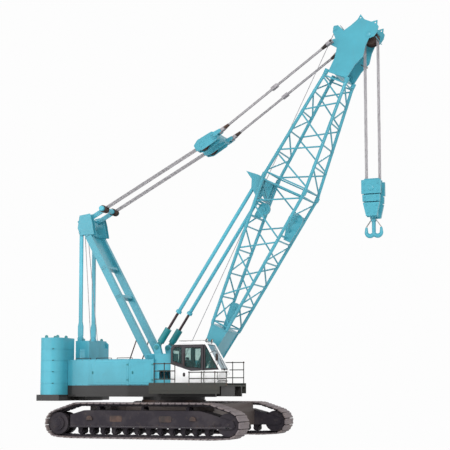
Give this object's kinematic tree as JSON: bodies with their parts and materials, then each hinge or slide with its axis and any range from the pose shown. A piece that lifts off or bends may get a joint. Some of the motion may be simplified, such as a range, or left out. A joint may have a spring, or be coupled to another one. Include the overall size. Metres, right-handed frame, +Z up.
{
  "type": "crawler crane",
  "caption": "Crawler crane with a lattice boom, rear gantry, telescoping backstops, side cab, stacked counterweights and a double-hook block.",
  "frame": {"origin": "on the ground under the middle of the box round the whole crane", "axes": "+X forwards along the boom, +Y to the left, +Z up"},
  "size_m": [14.1528, 6.75, 16.764],
  "materials": {
    "teal_paint": "satin",
    "deep_teal_paint": "satin",
    "frame_grey_paint": "matte",
    "walkway_paint": "matte",
    "crawler_iron": "matte",
    "carbody_paint": "matte",
    "dark_steel": "satin",
    "rope_steel": "satin",
    "cab_white": "gloss",
    "tinted_glass": "clear",
    "seat_cover": "matte",
    "engine_iron": "matte"
  },
  "bodies": {
    "undercarriage": {"carbody": "carbody_paint", "slewing_ring": "dark_steel", "track_frame_left": "crawler_iron", "track_frame_right": "crawler_iron", "track_belt_left": "crawler_iron", "track_belt_right": "crawler_iron", "drive_wheel_left": "crawler_iron", "drive_wheel_right": "crawler_iron", "idler_wheel_left": "crawler_iron", "idler_wheel_right": "crawler_iron", "track_rollers_left": "crawler_iron", "track_rollers_right": "crawler_iron"},
    "upperstructure": {"revolving_frame": "frame_grey_paint", "upper_brackets": "teal_paint", "rear_tower": "teal_paint", "winch_drums": "dark_steel", "counterweight_base": "frame_grey_paint", "counterweight_stack_left": "teal_paint", "counterweight_stack_right": "teal_paint", "engine_house_left": "teal_paint", "engine_house_right": "teal_paint", "valve_cabinet": "teal_paint", "engine": "engine_iron", "cab_shell": "cab_white", "cab_glass": "tinted_glass", "cab_seat": "seat_cover", "walkway_left": "walkway_paint", "walkway_right": "walkway_paint", "gantry_legs": "teal_paint", "gantry_links": "teal_paint", "gantry_props": "dark_steel"},
    "house_door_left": {"house_door_left_1": "teal_paint"},
    "house_door_rear": {"house_door_right_1": "teal_paint"},
    "house_door_front": {"house_door_right_2": "teal_paint"},
    "cab_door": {"cab_door": "cab_white", "cab_door_glass": "tinted_glass"},
    "spreader": {"gantry_spreader": "teal_paint", "stay_ropes": "rope_steel"},
    "bail": {"bail": "teal_paint"},
    "pendants": {"pendants": "rope_steel"},
    "boom": {"boom_base": "teal_paint", "boom_top": "teal_paint", "boom_head": "teal_paint", "head_sheaves": "dark_steel"},
    "backstop_cylinders": {"backstop_cylinders": "deep_teal_paint"},
    "backstop_tubes": {"backstop_tubes": "teal_paint"},
    "falls": {"hoist_falls": "rope_steel"},
    "hook_block": {"hook_block": "teal_paint"},
    "hook": {"hook": "dark_steel"}
  },
  "joints": [
    {"name": "swing", "type": "hinge", "parent": "undercarriage", "child": "upperstructure", "pos_m": [-1.88637, 0, 1.49], "axis": [0, 0, 1], "continuous": true},
    {"name": "boom_luff", "type": "hinge", "parent": "upperstructure", "child": "boom", "pos_m": [-0.56637, 0, 2.49], "axis": [0, -1, 0], "range_deg": [-33.4, 16.6]},
    {"name": "spreader_turn", "type": "hinge", "parent": "upperstructure", "child": "spreader", "pos_m": [-5.73591, 0, 9.19959], "axis": [0, -1, 0], "range_deg": [-17.62, 8.81]},
    {"name": "bail_travel", "type": "slide", "parent": "spreader", "child": "bail", "axis": [0.8829, 0, 0.4695], "range_m": [-2.3687, 4.7559], "deforming": ["stay_ropes"]},
    {"name": "pendant_turn", "type": "hinge", "parent": "bail", "child": "pendants", "pos_m": [0.44472, 0, 12.48589], "axis": [0, -1, 0], "range_deg": [-26.95, 13.45]},
    {"name": "backstop_turn", "type": "hinge", "parent": "upperstructure", "child": "backstop_cylinders", "pos_m": [-2.38637, 0, 3.65], "axis": [0, -1, 0], "range_deg": [-32.16, 16.04]},
    {"name": "backstop_travel", "type": "slide", "parent": "backstop_cylinders", "child": "backstop_tubes", "axis": [0.5489, 0, 0.8359], "range_m": [-0.6118, 1.2208]},
    {"name": "falls_turn", "type": "hinge", "parent": "boom", "child": "falls", "pos_m": [6.64643, 0, 15.91095], "axis": [0, -1, 0], "range_deg": [-16.7, 33.5]},
    {"name": "hoist", "type": "slide", "parent": "falls", "child": "hook_block", "axis": [0, 0, 1], "range_m": [-1.5, 3], "deforming": ["hoist_falls"]},
    {"name": "hook_turn", "type": "hinge", "parent": "hook_block", "child": "hook", "pos_m": [6.64643, 0, 8.8], "axis": [0, 0, 1], "continuous": true},
    {"name": "house_door_left_turn", "type": "hinge", "parent": "upperstructure", "child": "house_door_left", "pos_m": [-3.39037, 1.613, 2.61], "axis": [0, 0, -1], "range_deg": [0, 90]},
    {"name": "house_door_rear_turn", "type": "hinge", "parent": "upperstructure", "child": "house_door_rear", "pos_m": [-3.20137, -1.613, 2.61], "axis": [0, 0, 1], "range_deg": [0, 90]},
    {"name": "house_door_front_turn", "type": "hinge", "parent": "upperstructure", "child": "house_door_front", "pos_m": [-2.09037, -1.613, 2.61], "axis": [0, 0, 1], "range_deg": [0, 90]},
    {"name": "cab_door_travel", "type": "slide", "parent": "upperstructure", "child": "cab_door", "axis": [-1, 0, 0], "range_m": [0, 0.52]}
  ],
  "couplings": [
    {"joint": "spreader_turn", "follows": "boom_luff", "ratio": 0.5245},
    {"joint": "bail_travel", "follows": "boom_luff", "m_per_rad": -8.1413},
    {"joint": "pendant_turn", "follows": "boom_luff", "ratio": 0.80394},
    {"joint": "backstop_turn", "follows": "boom_luff", "ratio": 0.96},
    {"joint": "backstop_travel", "follows": "boom_luff", "m_per_rad": -2.077},
    {"joint": "falls_turn", "follows": "boom_luff", "ratio": -1}
  ]
}
